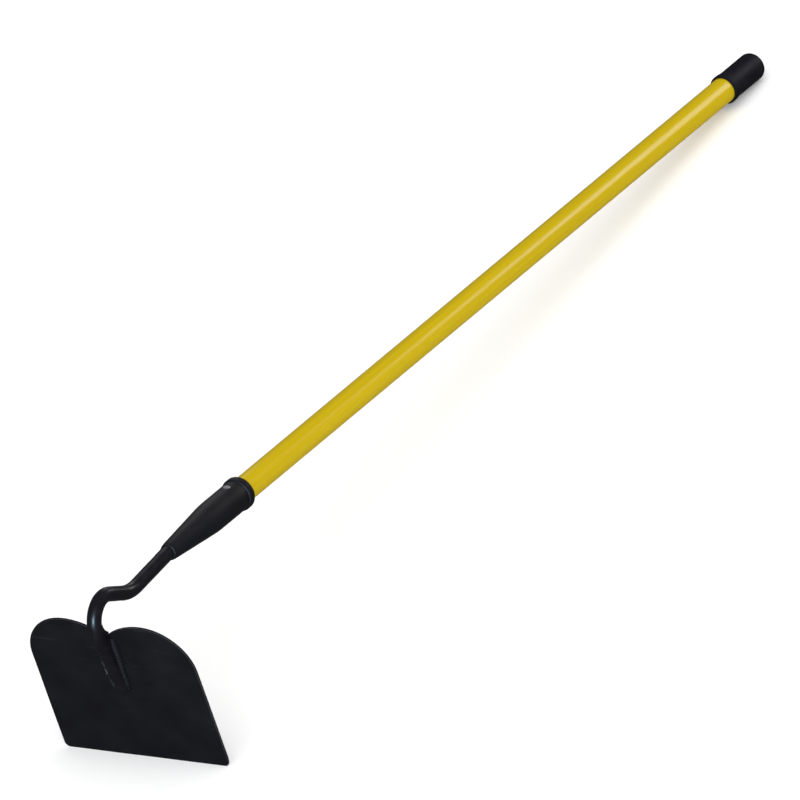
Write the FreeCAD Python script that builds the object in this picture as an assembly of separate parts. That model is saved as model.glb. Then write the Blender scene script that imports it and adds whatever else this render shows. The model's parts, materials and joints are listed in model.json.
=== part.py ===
import FreeCAD, Part
import math
import os

# Grub hoe: a forged gooseneck head on a hollow fibreglass handle.
#
# Handle frame, in which the pieces are drawn: X runs along the handle's axis from the
# head to the grip, with zero at the mouth of the ferrule. Y is across the blade. Z is
# square to the handle, and the X-Z plane halves the whole tool.
#
# Finished frame, in which the pieces are written: the tool lies on the floor on its
# cutting edge and the rim of its grip cap, +Z is up, and the origin is under the
# middle of its bounding box.
#
# Millimetres and degrees throughout.

Vector = FreeCAD.Vector

# ---------------------------------------------------------------- driving dimensions

# Handle tube, pultruded
TUBE_DIAMETER = 30.0
TUBE_WALL = 3.0
TUBE_LENGTH = 1219.0

# Hardwood plugs glued in the two ends of the tube
CORE_BEYOND_TANG = 15.0
GRIP_PLUG_LENGTH = 40.0

# Ferrule, a moulded socket that tapers from the tube down to the steel neck
SOCKET_DEPTH = 74.5
FERRULE_WALL = 3.2
FERRULE_STRAIGHT = 69.5
FERRULE_CONE = 79.0
NOSE_WALL = 2.6
NOSE_LENGTH = 11.0
NOSE_LIP = 0.9
COLLAR_RISE = 1.6
COLLAR_WIDTH = 11.0
COLLAR_ROUND = 3.0

# Cross rivet through ferrule, tube, plug and tang
RIVET_FROM_MOUTH = 26.0
RIVET_DIAMETER = 5.0
RIVET_HEAD_DIAMETER = 8.7
RIVET_HEAD_HEIGHT = 1.6
RIVET_HEAD_PROUD = 0.5

# Soft cap on the grip end
CAP_WALL = 1.6
CAP_END_WALL = 3.0
CAP_GRIP_LENGTH = 67.5
CAP_LIP_RISE = 0.9
CAP_LIP_WIDTH = 7.0
CAP_LIP_ROUND = 1.6
CAP_END_ROUND = 6.5

# Gooseneck, forged from round bar: tang, neck, crook and flattened tongue
BAR_DIAMETER = 17.2
TANG_REACH = 25.0
TANG_CHAMFER = 1.5
NECK_TILT = 6.2
NECK_TILT_RADIUS = 30.0
NECK_RUN = 67.6
RISE_ANGLE = 29.6
RISE_RADIUS = 55.0
RISE_RUN = 31.1
CROOK_ANGLE = 128.4
CROOK_RADIUS = 26.0
CROOK_DROP = 10.0

# Tongue, which lies on the blade's outer face
TONGUE_LENGTH = 74.5
TONGUE_WIDTH = 18.0
TONGUE_SIDE = 9.5
TONGUE_CROWN = 18.5
TOE_WIDTH = 16.0
TOE_SIDE = 4.2
TOE_CROWN = 6.0
BAR_STANDOFF = 2.75

# Blade, stamped plate with two round lobes and a notch for the neck
BLADE_WIDTH = 217.0
BLADE_HEIGHT = 195.5
BLADE_THICKNESS = 3.0
SHOULDER_RADIUS = 58.0
NOTCH_DEPTH = 19.5
CORNER_RADIUS = 7.0
BEVEL_LENGTH = 12.0
EDGE_LAND = 0.8
TONGUE_BELOW_NOTCH = 3.0
BAR_ABOVE_NOTCH = 7.0

# Weld beads
BEAD_LEG_TOP = 6.0
BEAD_LEG_TOE = 4.0
BEAD_END_GAP = 3.0
BEAD_BULGE = 0.25
WEB_WIDTH = 12.0
WEB_HEIGHT = 22.0
WEB_BACK_RISE = 7.0
WEB_SAG = 1.5

# Clearances, each on the radius
BOND_GAP = 0.15
CORE_GAP = 0.1
TANG_GAP = 0.15
RIVET_GAP = 0.1
CAP_GAP = 0.1

# ---------------------------------------------------------------- sizes that follow

tube_radius = TUBE_DIAMETER / 2
bore_radius = tube_radius - TUBE_WALL
tube_start = -SOCKET_DEPTH
tube_end = tube_start + TUBE_LENGTH
bar_radius = BAR_DIAMETER / 2
bar_to_face = bar_radius + BAR_STANDOFF
tang_hole_radius = bar_radius + TANG_GAP
core_radius = bore_radius - CORE_GAP
tang_shoulder = TANG_REACH - TANG_CHAMFER
core_end = TANG_REACH + CORE_BEYOND_TANG
socket_radius = tube_radius + BOND_GAP
ferrule_radius = socket_radius + FERRULE_WALL
collar_radius = ferrule_radius + COLLAR_RISE
rivet_seat = ferrule_radius + RIVET_HEAD_PROUD - RIVET_HEAD_HEIGHT
cone_end = -(FERRULE_STRAIGHT + FERRULE_CONE)
nose_radius = tang_hole_radius + NOSE_WALL
nose_end = cone_end - NOSE_LENGTH
cap_bore_radius = tube_radius + CAP_GAP
cap_radius = cap_bore_radius + CAP_WALL
cap_lip_radius = cap_radius + CAP_LIP_RISE
cap_start = tube_end - CAP_GRIP_LENGTH
cap_end = tube_end + CAP_END_WALL
notch_height = BLADE_HEIGHT - NOTCH_DEPTH
tongue_top = notch_height - TONGUE_BELOW_NOTCH
tongue_toe = tongue_top - TONGUE_LENGTH

X_AXIS = Vector(1, 0, 0)
Y_AXIS = Vector(0, 1, 0)
Z_AXIS = Vector(0, 0, 1)
HANDLE_ORIGIN = Vector(0, 0, 0)


# ---------------------------------------------------------------- drawing helpers

def polar(centre, radius, angle, across, up):
    """The point at an angle round a centre, in the plane of two unit vectors."""
    turn = math.radians(angle)
    return centre + across * (radius * math.cos(turn)) + up * (radius * math.sin(turn))


def arc(centre, radius, start, end, across, up):
    """A circular arc from one angle to another."""
    points = [polar(centre, radius, a, across, up) for a in (start, (start + end) / 2, end)]
    return Part.Arc(*points).toShape()


def line(start, end):
    return Part.LineSegment(start, end).toShape()


def closed_face(edges):
    """A flat face from edges given in order."""
    return Part.Face(Part.Wire(edges))


def turned(edges):
    """A solid turned about the handle's axis from a half profile in the X-Z plane."""
    return closed_face(edges).revolve(HANDLE_ORIGIN, X_AXIS, 360)


def rod(radius, start, end):
    """A cylinder on the handle's axis."""
    return Part.makeCylinder(radius, end - start, Vector(start, 0, 0), X_AXIS)


def cross_hole(radius):
    """The rivet's hole, square through the handle at the rivet's place."""
    reach = 2 * collar_radius
    start = Vector(-RIVET_FROM_MOUTH, 0, -reach)
    return Part.makeCylinder(radius, 2 * reach, start, Z_AXIS)


def profile(points):
    """The straight edges that join a list of (x, radius) points, in order."""
    spots = [Vector(x, 0, z) for x, z in points]
    return [line(a, b) for a, b in zip(spots, spots[1:])]


# ---------------------------------------------------------------- gooseneck path

class Path:
    """A line of straight runs and tangent bends in the X-Z plane."""

    def __init__(self, x, heading):
        self.point = Vector(x, 0, 0)
        self.heading = heading
        self.edges = []

    def direction(self):
        return polar(HANDLE_ORIGIN, 1, self.heading, X_AXIS, Z_AXIS)

    def run(self, length):
        end = self.point + self.direction() * length
        self.edges.append(line(self.point, end))
        self.point = end

    def bend(self, radius, angle):
        """Turns by an angle, positive towards the left of the way it is going."""
        side = math.copysign(90, angle)
        centre = polar(self.point, radius, self.heading + side, X_AXIS, Z_AXIS)
        start = self.heading - side
        self.edges.append(arc(centre, radius, start, start + angle, X_AXIS, Z_AXIS))
        self.heading += angle
        self.point = polar(centre, radius, start + angle, X_AXIS, Z_AXIS)


neck = Path(tang_shoulder, 180)
neck.run(tang_shoulder - nose_end)
neck.bend(NECK_TILT_RADIUS, NECK_TILT)
neck.run(NECK_RUN)
neck.bend(RISE_RADIUS, -RISE_ANGLE)
neck.run(RISE_RUN)
neck.bend(CROOK_RADIUS, CROOK_ANGLE)
neck.run(CROOK_DROP)

# Blade frame: first axis across the blade, second up its face, third out of the face
# away from the handle. Its zero is the middle of the cutting edge on the outer face.
blade_up = -neck.direction()
blade_out = blade_up.cross(Y_AXIS)
blade_across = blade_up.cross(blade_out)
bar_height = notch_height + BAR_ABOVE_NOTCH
blade_zero = neck.point - blade_up * bar_height - blade_out * bar_to_face


def on_blade(across, up, out):
    """A point given in the blade frame."""
    return blade_zero + blade_across * across + blade_up * up + blade_out * out


# ---------------------------------------------------------------- the pieces

def make_blade():
    """Flat plate: straight edge, upright sides, two lobes, and a bevel on its back."""
    half = BLADE_WIDTH / 2
    lobe_x = half - SHOULDER_RADIUS
    lobe_up = BLADE_HEIGHT - SHOULDER_RADIUS
    inner_radius = (lobe_x ** 2 + NOTCH_DEPTH ** 2) / (2 * NOTCH_DEPTH)
    inner_sweep = math.degrees(math.asin(lobe_x / inner_radius))
    inner_up = BLADE_HEIGHT - inner_radius
    low = CORNER_RADIUS

    def rounded(across, up, radius, start, end):
        return arc(on_blade(across, up, 0), radius, start, end, blade_across, blade_up)

    edges = [
        line(on_blade(low - half, 0, 0), on_blade(half - low, 0, 0)),
        rounded(half - low, low, low, -90, 0),
        line(on_blade(half, low, 0), on_blade(half, lobe_up, 0)),
        rounded(lobe_x, lobe_up, SHOULDER_RADIUS, 0, 90),
        rounded(lobe_x, inner_up, inner_radius, 90, 90 + inner_sweep),
        rounded(-lobe_x, inner_up, inner_radius, 90 - inner_sweep, 90),
        rounded(-lobe_x, lobe_up, SHOULDER_RADIUS, 90, 180),
        line(on_blade(-half, lobe_up, 0), on_blade(-half, low, 0)),
        rounded(low - half, low, low, 180, 270),
    ]
    plate = closed_face(edges).extrude(-blade_out * BLADE_THICKNESS)
    corners = [
        on_blade(-BLADE_WIDTH, 0, -EDGE_LAND),
        on_blade(-BLADE_WIDTH, BEVEL_LENGTH, -BLADE_THICKNESS),
        on_blade(-BLADE_WIDTH, BEVEL_LENGTH, -2 * BLADE_THICKNESS),
        on_blade(-BLADE_WIDTH, -BEVEL_LENGTH, -2 * BLADE_THICKNESS),
        on_blade(-BLADE_WIDTH, -BEVEL_LENGTH, -EDGE_LAND),
    ]
    wedge = Part.Face(Part.makePolygon(corners + corners[:1]))
    return plate.cut(wedge.extrude(blade_across * (2 * BLADE_WIDTH)))


def bar_section():
    """The round bar where the crook ends, as four arcs that match the tongue's sides."""
    centre = on_blade(0, bar_height, bar_to_face)
    quarters = [(225, 315), (315, 405), (45, 135), (135, 225)]
    edges = [arc(centre, bar_radius, a, b, blade_across, blade_out) for a, b in quarters]
    return Part.Wire(edges)


def tongue_section(up, width, side, crown):
    """Flat underneath, upright at the sides and crowned on top."""
    half = width / 2
    corners = [
        on_blade(-half, up, 0),
        on_blade(half, up, 0),
        on_blade(half, up, side),
        on_blade(-half, up, side),
    ]
    top = Part.Arc(corners[2], on_blade(0, up, crown), corners[3]).toShape()
    return Part.Wire([
        line(corners[0], corners[1]),
        line(corners[1], corners[2]),
        top,
        line(corners[3], corners[0]),
    ])


def make_gooseneck():
    """Tang, neck and crook swept from round bar, then flattened into the tongue."""
    start = Vector(tang_shoulder, 0, 0)
    circle = Part.Wire(Part.Circle(start, X_AXIS, bar_radius).toShape())
    bar = Part.Wire(neck.edges).makePipeShell([circle], True, True)
    upper = tongue_section(tongue_top, TONGUE_WIDTH, TONGUE_SIDE, TONGUE_CROWN)
    toe = tongue_section(tongue_toe, TOE_WIDTH, TOE_SIDE, TOE_CROWN)
    tongue = Part.makeLoft([bar_section(), upper, toe], True, True)
    tip = Part.makeCone(bar_radius, bar_radius - TANG_CHAMFER, TANG_CHAMFER, start, X_AXIS)
    whole = bar.fuse([tip, tongue]).removeSplitter()
    return whole.cut(cross_hole(RIVET_DIAMETER / 2 + RIVET_GAP))


def tongue_half_width(up):
    """Half the tongue's width at a height on the blade."""
    share = (tongue_top - up) / TONGUE_LENGTH
    return (TONGUE_WIDTH + (TOE_WIDTH - TONGUE_WIDTH) * share) / 2


def bead_section(up, leg, side):
    """A bulging fillet in the corner between the tongue's side and the blade."""
    root = tongue_half_width(up)
    foot = on_blade(side * (root + leg), up, 0)
    head = on_blade(side * root, up, leg)
    middle = leg * (0.5 + BEAD_BULGE)
    crest = on_blade(side * (root + middle), up, middle)
    corner = on_blade(side * root, up, 0)
    return Part.Wire([
        line(corner, foot),
        Part.Arc(foot, crest, head).toShape(),
        line(head, corner),
    ])


def make_side_weld(side):
    """One bead down the side of the tongue, thinning with it towards the toe."""
    upper = bead_section(tongue_top - BEAD_END_GAP, BEAD_LEG_TOP, side)
    lower = bead_section(tongue_toe, BEAD_LEG_TOE, side)
    return Part.makeLoft([upper, lower], True, True)


def make_notch_weld(blade, gooseneck):
    """The web of weld that fills the notch behind the bar and runs up its back."""
    back = -BLADE_THICKNESS
    low = on_blade(-WEB_WIDTH / 2, tongue_top, 0)

    def spot(up, out):
        return low + blade_up * (up - tongue_top) + blade_out * out

    shoulder = spot(notch_height + WEB_BACK_RISE, back)
    peak = spot(notch_height + WEB_HEIGHT, BAR_STANDOFF)
    hollow = spot(notch_height + (WEB_BACK_RISE + WEB_HEIGHT) / 2 - WEB_SAG, BAR_STANDOFF / 2)
    inside = spot(notch_height + WEB_HEIGHT, bar_to_face)
    foot = spot(tongue_top, bar_to_face)
    heel = spot(tongue_top, back)
    edges = [
        line(heel, shoulder),
        Part.Arc(shoulder, hollow, peak).toShape(),
        line(peak, inside),
        line(inside, foot),
        line(foot, heel),
    ]
    web = closed_face(edges).extrude(blade_across * WEB_WIDTH)
    return web.cut([blade, gooseneck])


def make_ferrule():
    """Rolled collar, straight socket, long cone and a blunt nose round the neck."""
    rim = COLLAR_ROUND
    slope = (ferrule_radius - nose_radius) / FERRULE_CONE
    cavity_bend = -FERRULE_STRAIGHT - (ferrule_radius - FERRULE_WALL - bore_radius) / slope
    cavity_end = cavity_bend - (bore_radius - tang_hole_radius) / slope
    lip = tang_hole_radius + NOSE_LIP
    crown = Vector(-rim, 0, collar_radius - rim)
    heel = Vector(rim - COLLAR_WIDTH, 0, collar_radius - rim)
    nose_start = Vector(cone_end, 0, nose_radius)
    nose_mid = Vector(cone_end - 0.65 * NOSE_LENGTH, 0, lip + 0.6 * (nose_radius - lip))
    nose_tip = Vector(nose_end, 0, lip)
    inner = profile([
        (nose_end, lip),
        (nose_end, tang_hole_radius),
        (cavity_end, tang_hole_radius),
        (cavity_bend, bore_radius),
        (tube_start, bore_radius),
        (tube_start, socket_radius),
        (0, socket_radius),
        (0, collar_radius - rim),
    ])
    outer = [
        arc(crown, rim, 0, 90, X_AXIS, Z_AXIS),
        line(Vector(-rim, 0, collar_radius), Vector(rim - COLLAR_WIDTH, 0, collar_radius)),
        arc(heel, rim, 90, 180, X_AXIS, Z_AXIS),
    ]
    outer += profile([
        (-COLLAR_WIDTH, collar_radius - rim),
        (-COLLAR_WIDTH, ferrule_radius),
        (-FERRULE_STRAIGHT, ferrule_radius),
        (cone_end, nose_radius),
    ])
    outer.append(Part.Arc(nose_start, nose_mid, nose_tip).toShape())
    body = turned(inner + outer)
    body = body.cut(cross_hole(RIVET_DIAMETER / 2 + RIVET_GAP))
    for side in (1, -1):
        floor = Vector(-RIVET_FROM_MOUTH, 0, side * rivet_seat)
        seat_radius = RIVET_HEAD_DIAMETER / 2 + RIVET_GAP
        body = body.cut(Part.makeCylinder(seat_radius, collar_radius, floor, Z_AXIS * side))
    return body


def make_rivet():
    """A solid shank with a low domed head seated in a recess on each side."""
    place = Vector(-RIVET_FROM_MOUTH, 0, -rivet_seat)
    whole = Part.makeCylinder(RIVET_DIAMETER / 2, 2 * rivet_seat, place, Z_AXIS)
    head_radius = RIVET_HEAD_DIAMETER / 2
    dome = RIVET_HEAD_HEIGHT / 2
    for side in (1, -1):
        seat = Vector(-RIVET_FROM_MOUTH, 0, side * rivet_seat)
        top = seat + Z_AXIS * (side * RIVET_HEAD_HEIGHT)
        rim = seat + Z_AXIS * (side * (RIVET_HEAD_HEIGHT - dome))
        half = closed_face([
            line(seat, seat + X_AXIS * head_radius),
            line(seat + X_AXIS * head_radius, rim + X_AXIS * head_radius),
            line(rim + X_AXIS * head_radius, top + X_AXIS * (head_radius - dome)),
            line(top + X_AXIS * (head_radius - dome), top),
            line(top, seat),
        ])
        whole = whole.fuse(half.revolve(seat, Z_AXIS, 360))
    return whole.removeSplitter()


def make_handle_tube():
    """The pultruded tube, drilled across for the rivet."""
    tube = rod(tube_radius, tube_start, tube_end).cut(rod(bore_radius, tube_start, tube_end))
    return tube.cut(cross_hole(RIVET_DIAMETER / 2 + RIVET_GAP))


def make_tang_plug():
    """Hardwood plug in the head end of the tube, bored for the tang."""
    plug = rod(core_radius, tube_start, core_end)
    plug = plug.cut(rod(tang_hole_radius, tube_start, TANG_REACH))
    return plug.cut(cross_hole(RIVET_DIAMETER / 2 + RIVET_GAP))


def make_grip_plug():
    """Hardwood plug flush with the grip end of the tube."""
    return rod(core_radius, tube_end - GRIP_PLUG_LENGTH, tube_end)


def make_end_cap():
    """Soft cap: a rolled lip, a plain grip and a well rounded closed end."""
    lip = CAP_LIP_ROUND
    lip_end = cap_start + CAP_LIP_WIDTH
    front = Vector(cap_start + lip, 0, cap_lip_radius - lip)
    back = Vector(cap_end - CAP_END_ROUND, 0, cap_radius - CAP_END_ROUND)
    edges = profile([
        (cap_end, 0),
        (tube_end, 0),
        (tube_end, cap_bore_radius),
        (cap_start, cap_bore_radius),
        (cap_start, cap_lip_radius - lip),
    ])
    edges.append(arc(front, lip, 180, 90, X_AXIS, Z_AXIS))
    edges += profile([
        (cap_start + lip, cap_lip_radius),
        (lip_end, cap_lip_radius),
        (lip_end + CAP_LIP_RISE, cap_radius),
        (cap_end - CAP_END_ROUND, cap_radius),
    ])
    edges.append(arc(back, CAP_END_ROUND, 90, 0, X_AXIS, Z_AXIS))
    edges.append(line(Vector(cap_end, 0, cap_radius - CAP_END_ROUND), Vector(cap_end, 0, 0)))
    return turned(edges)


# ---------------------------------------------------------------- laying it down

def resting_slope():
    """The angle of the line under the cutting edge and the cap's rounded rim."""
    centre = Vector(cap_end - CAP_END_ROUND, 0, CAP_END_ROUND - cap_radius)
    reach = centre - blade_zero
    to_centre = math.atan2(reach.z, reach.x)
    return math.degrees(to_centre - math.asin(CAP_END_ROUND / reach.Length))


def main():
    blade = make_blade()
    gooseneck = make_gooseneck()
    pieces = {
        "blade": blade,
        "gooseneck": gooseneck,
        "weld_bead_left": make_side_weld(-1),
        "weld_bead_right": make_side_weld(1),
        "notch_weld": make_notch_weld(blade, gooseneck),
        "ferrule": make_ferrule(),
        "ferrule_rivet": make_rivet(),
        "handle_tube": make_handle_tube(),
        "tang_plug": make_tang_plug(),
        "grip_plug": make_grip_plug(),
        "end_cap": make_end_cap(),
    }
    slope = resting_slope()
    laid = FreeCAD.Placement(HANDLE_ORIGIN, FreeCAD.Rotation(Y_AXIS, slope))
    for shape in pieces.values():
        shape.Placement = laid.multiply(shape.Placement)
    box = Part.makeCompound(list(pieces.values())).optimalBoundingBox(False, False)
    shift = Vector(-box.Center.x, 0, -laid.multVec(blade_zero).z)
    laid = FreeCAD.Placement(shift, laid.Rotation)

    os.makedirs("parts", exist_ok=True)
    for name, shape in pieces.items():
        shape.translate(shift)
        shape.exportStep(f"parts/{name}.step")
        print(name, "solids", len(shape.Solids), "valid", shape.isValid(),
              "cm3", round(shape.Volume / 1000, 2))
    spots = {
        "handle axis at the mouth": HANDLE_ORIGIN,
        "tube end": Vector(tube_end, 0, 0),
        "cap end": Vector(cap_end, 0, 0),
        "cap grip start": Vector(cap_start + CAP_LIP_WIDTH + CAP_LIP_RISE, 0, 0),
        "cap grip end": Vector(cap_end - CAP_END_ROUND, 0, 0),
        "cutting edge middle": blade_zero,
        "blade back face": on_blade(BLADE_WIDTH / 4, BLADE_HEIGHT / 2, -BLADE_THICKNESS),
    }
    for name, spot in spots.items():
        print(name, [round(c, 4) for c in laid.multVec(spot)])
    turn = laid.Rotation
    print("handle direction", [round(c, 6) for c in turn.multVec(X_AXIS)])
    print("out of the blade", [round(c, 6) for c in turn.multVec(blade_out)])
    sides = (box.XLength, box.YLength, box.ZLength)
    print("slope", round(slope, 4), "box", [round(side, 3) for side in sides])


main()
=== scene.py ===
# %% [markdown]
# # A grub hoe, piece by piece
#
# The tool is a flat steel blade with two round lobes, a forged gooseneck welded to its
# outer face, a moulded ferrule, a yellow fibreglass tube and a soft black cap. The CAD
# model is loaded first, as a fixed frame. Every piece made here then takes its place
# from that frame, so nothing has to be fitted by eye.

# %% Load the frame
import json
import math
import random

import bmesh
import bpy
from mathutils import Matrix, Vector


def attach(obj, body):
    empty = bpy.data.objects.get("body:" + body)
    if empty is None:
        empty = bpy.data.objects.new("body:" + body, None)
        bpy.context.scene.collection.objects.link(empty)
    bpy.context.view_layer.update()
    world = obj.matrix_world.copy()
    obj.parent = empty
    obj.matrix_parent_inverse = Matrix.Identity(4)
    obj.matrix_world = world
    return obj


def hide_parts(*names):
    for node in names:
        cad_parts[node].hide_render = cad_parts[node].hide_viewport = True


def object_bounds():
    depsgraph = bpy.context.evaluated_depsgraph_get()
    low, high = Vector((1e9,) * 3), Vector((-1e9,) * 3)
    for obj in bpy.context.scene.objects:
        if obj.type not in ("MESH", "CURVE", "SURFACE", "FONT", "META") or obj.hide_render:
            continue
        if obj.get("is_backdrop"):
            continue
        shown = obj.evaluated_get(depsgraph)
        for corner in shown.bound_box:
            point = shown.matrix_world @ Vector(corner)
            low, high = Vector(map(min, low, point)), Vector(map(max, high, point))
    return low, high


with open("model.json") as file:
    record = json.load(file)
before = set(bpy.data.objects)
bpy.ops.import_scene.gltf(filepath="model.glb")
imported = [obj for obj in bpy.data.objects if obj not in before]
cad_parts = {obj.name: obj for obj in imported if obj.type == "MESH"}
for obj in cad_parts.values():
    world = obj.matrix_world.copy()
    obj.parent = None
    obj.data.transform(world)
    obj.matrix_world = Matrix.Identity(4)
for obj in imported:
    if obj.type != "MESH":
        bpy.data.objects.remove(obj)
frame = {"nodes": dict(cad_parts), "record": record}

cad_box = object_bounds()
mounts = {mount["name"]: mount for mount in frame["record"]["mounts"]}
print("CAD box", [tuple(round(c, 4) for c in corner) for corner in cad_box])

# %% [markdown]
# ## Two frames to work in
#
# The tool lies on the floor at a slope, which is an awkward way to draw it. Turned
# pieces are easier to draw along the handle's own axis, and the blade is easier to draw
# flat. So there are two working frames. In the handle frame X runs from the head to the
# grip, with zero at the ferrule's mouth. In the blade frame X runs across the blade, Y
# up its face and Z out of the face, with zero at the middle of the cutting edge. Both
# come from the record's mounts and from the CAD pieces, and each finished piece is
# moved from its working frame to the tool's frame once, in its mesh.

# %% The handle frame
grip = mounts["grip_end"]
handle_way = Vector(grip["axis"]).normalized()
grip_spot = Vector(grip["pos_m"])
Y_AXIS = Vector((0, 1, 0))
handle_rise = handle_way.cross(Y_AXIS)


def node_span(node, origin, way):
    """The lowest and highest place of a CAD piece along a direction, from a point."""
    places = [(v.co - origin).dot(way) for v in frame["nodes"][node].data.vertices]
    return min(places), max(places)


def frame_matrix(origin, x_axis, y_axis, z_axis):
    """The matrix that takes a working frame to the tool's frame."""
    turn = Matrix((x_axis, y_axis, z_axis)).transposed()
    return Matrix.Translation(origin) @ turn.to_4x4()


mouth = grip_spot + handle_way * node_span("ferrule", grip_spot, handle_way)[1]
HANDLE = frame_matrix(mouth, handle_way, Y_AXIS, handle_rise)
slope = math.atan2(-handle_way.z, handle_way.x)
print("ferrule mouth", mouth, "slope", round(math.degrees(slope), 2))

# %% The blade frame
PLATE = 0.003
blade_mount = mounts["blade_back"]
blade_out = -Vector(blade_mount["axis"]).normalized()
blade_across = -Y_AXIS
blade_up = blade_out.cross(blade_across)
face_spot = Vector(blade_mount["pos_m"]) + blade_out * PLATE
edge_middle = face_spot - blade_up * (face_spot.z / blade_up.z)
edge_middle.y = 0
BLADE = frame_matrix(edge_middle, blade_across, blade_up, blade_out)
print("middle of the cutting edge", edge_middle)

# %% [markdown]
# ## The camera
#
# A long lens from far away keeps parallel lines almost parallel, as in a catalogue
# picture of a long tool. The camera stands to the left and in front of the head, looks
# down at about thirty degrees, and is rolled so that the handle climbs the picture. Its
# place is worked out from the ferrule's mouth.

# %% Place the camera
CAMERA_AZIMUTH = -53.07
CAMERA_ELEVATION = 30.49
CAMERA_ROLL = -14.08
CAMERA_DISTANCE = 42.5
VIEW_WIDTH = 0.8955
AIM_RIGHT = 0.1783
AIM_UP = 0.1030
SENSOR = 36.0

azimuth, elevation = math.radians(CAMERA_AZIMUTH), math.radians(CAMERA_ELEVATION)
camera_turn = (
    Matrix.Rotation(azimuth, 3, "Z")
    @ Matrix.Rotation(math.pi / 2 - elevation, 3, "X")
    @ Matrix.Rotation(math.radians(CAMERA_ROLL), 3, "Z")
)
camera_right, camera_up, camera_back = camera_turn.transposed()
aim = mouth + camera_right * AIM_RIGHT + camera_up * AIM_UP

bpy.ops.object.camera_add(
    location=aim + camera_back * CAMERA_DISTANCE, rotation=camera_turn.to_euler()
)
camera = bpy.context.object
camera.name = "camera"
camera.data.sensor_width = SENSOR
camera.data.lens = SENSOR * CAMERA_DISTANCE / VIEW_WIDTH
camera.data.clip_start = 0.1
camera.data.clip_end = 200
bpy.context.scene.camera = camera
print("lens", round(camera.data.lens, 1), "mm, aimed at", aim)

# %% [markdown]
# ## Floor and light
#
# A plain white floor carries the tool, and glows faintly so that shadows stay light. One
# very soft sun from above lights the floor evenly however far it is seen, and a sky fills
# the shadows. The sky is white behind the tool and dim in reflections, so that black
# paint stays black. The bright line on a glossy round piece is the mirror image of a
# lamp, so soft boxes stand where such a line's mirror ray points: one for the streak on
# the tube, one for the ferrule's upper edge, and a cool one, low on the left, for the
# sheen on the crook. The boxes make highlights only, and no even light.

# %% Floor
FLOOR_SIZE = 90
FLOOR_GAP = 0.0002
FLOOR_WHITE = (0.93, 0.93, 0.93, 1)
FLOOR_GLOW = 0.12


def shader(name):
    """A new material, its node tree and its main shader."""
    material = bpy.data.materials.new(name)
    material.use_nodes = True
    tree = material.node_tree
    return material, tree, tree.nodes["Principled BSDF"]


bpy.ops.object.select_all(action="DESELECT")
bpy.ops.mesh.primitive_plane_add(size=FLOOR_SIZE, location=(0, 0, -FLOOR_GAP))
floor = bpy.context.object
floor.name = "floor"
floor_paint, _, floor_shader = shader("studio_floor")
floor_shader.inputs["Base Color"].default_value = FLOOR_WHITE
floor_shader.inputs["Roughness"].default_value = 0.9
floor_shader.inputs["Specular IOR Level"].default_value = 0.0
floor_shader.inputs["Emission Color"].default_value = (1, 1, 1, 1)
floor_shader.inputs["Emission Strength"].default_value = FLOOR_GLOW
floor.data.materials.append(floor_paint)
floor.visible_glossy = False
floor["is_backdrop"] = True
print("floor", FLOOR_SIZE, "m square")

# %% Sky
SKY_STRENGTH = 0.55
SKY_REFLECTED = 0.1
scene = bpy.context.scene
scene.view_settings.view_transform = "Standard"

world = bpy.data.worlds.new("studio")
scene.world = world
world.use_nodes = True
sky = world.node_tree.nodes["Background"]
light_path = world.node_tree.nodes.new("ShaderNodeLightPath")
dimmed = world.node_tree.nodes.new("ShaderNodeMapRange")
dimmed.inputs["To Min"].default_value = SKY_STRENGTH
dimmed.inputs["To Max"].default_value = SKY_REFLECTED
seen = world.node_tree.nodes.new("ShaderNodeMapRange")
seen.inputs["To Max"].default_value = 1.0
world.node_tree.links.new(light_path.outputs["Is Glossy Ray"], dimmed.inputs["Value"])
world.node_tree.links.new(light_path.outputs["Is Camera Ray"], seen.inputs["Value"])
world.node_tree.links.new(dimmed.outputs["Result"], seen.inputs["To Min"])
world.node_tree.links.new(seen.outputs["Result"], sky.inputs["Strength"])
sky.inputs["Color"].default_value = (1.0, 1.0, 1.0, 1)
print("sky strength", SKY_STRENGTH, "and in reflections", SKY_REFLECTED)

# %% Sun
SUN_STRENGTH = 2.1
SUN_ANGLE = math.radians(70)
SUN_WAY = Vector((-1.5, -1.3, 3.0))


def lamp(name, kind, place, target, power, colour=(1, 1, 1)):
    """A light at a place, turned to face a target."""
    way = (Vector(target) - Vector(place)).to_track_quat("-Z", "Y")
    bpy.ops.object.light_add(type=kind, location=place, rotation=way.to_euler())
    light = bpy.context.object
    light.name = name
    light.data.energy = power
    light.data.color = colour
    light.visible_camera = False
    return light


middle = (cad_box[0] + cad_box[1]) / 2
sun = lamp("soft_sun", "SUN", middle + SUN_WAY, middle, SUN_STRENGTH)
sun.data.angle = SUN_ANGLE
sun.visible_glossy = False
print("sun strength", SUN_STRENGTH)

# %% Soft boxes for the tube and the ferrule
STREAK_ALONG = 1.12
STREAK_REACH = 1.7
STREAK_LEAN = math.radians(5.5)
STREAK_POWER = 10.5
STREAK_SIZE = (0.9, 0.7)
RIM_ALONG = -0.17
RIM_REACH = 0.45
RIM_LEAN = math.radians(44)
RIM_POWER = 0.24
RIM_SIZE = (0.16, 0.2)
facing = (camera_back - handle_way * camera_back.dot(handle_way)).normalized()


def mirror_box(name, along, lean, reach, power, size):
    """A soft box where a round piece, seen from the camera, mirrors it at a lean."""
    leaning = max(
        (Matrix.Rotation(turn, 3, handle_way) @ facing for turn in (lean, -lean)),
        key=lambda way: way.z,
    )
    way = leaning * (2 * leaning.dot(camera_back)) - camera_back
    spot = mouth + handle_way * along
    box = lamp(name, "AREA", spot + way * reach, spot, power)
    box.data.shape = "RECTANGLE"
    box.data.size, box.data.size_y = size
    box.visible_diffuse = False
    print(name, "stands at", spot + way * reach)


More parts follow.
